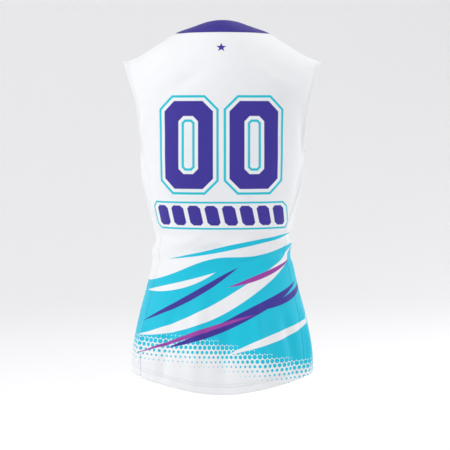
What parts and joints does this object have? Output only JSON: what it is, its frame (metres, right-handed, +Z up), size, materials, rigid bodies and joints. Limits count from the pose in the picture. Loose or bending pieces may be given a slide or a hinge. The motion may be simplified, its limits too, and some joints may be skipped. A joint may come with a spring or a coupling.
{
  "type": "volleyball jersey",
  "caption": "Sleeveless fitted sports jersey in its worn shape, with a round neckband, open armholes and a curved hem.",
  "frame": {"origin": "midway between the shoulder seams, at half their height, where the wearer's shoulders carry the jersey", "axes": "+Z up to the neck, -Y out of the wearer's chest, +Y out of the wearer's back, +X to the wearer's left"},
  "size_m": [0.355, 0.2462, 0.6504],
  "materials": {
    "printed_knit": "smooth matt white polyester knit with a dyed-in print",
    "band_knit": "smooth matt purple polyester knit"
  },
  "bodies": {
    "root": {"back_panel": "printed_knit", "front_panel": "printed_knit", "neckband": "band_knit"}
  },
  "joints": []
}
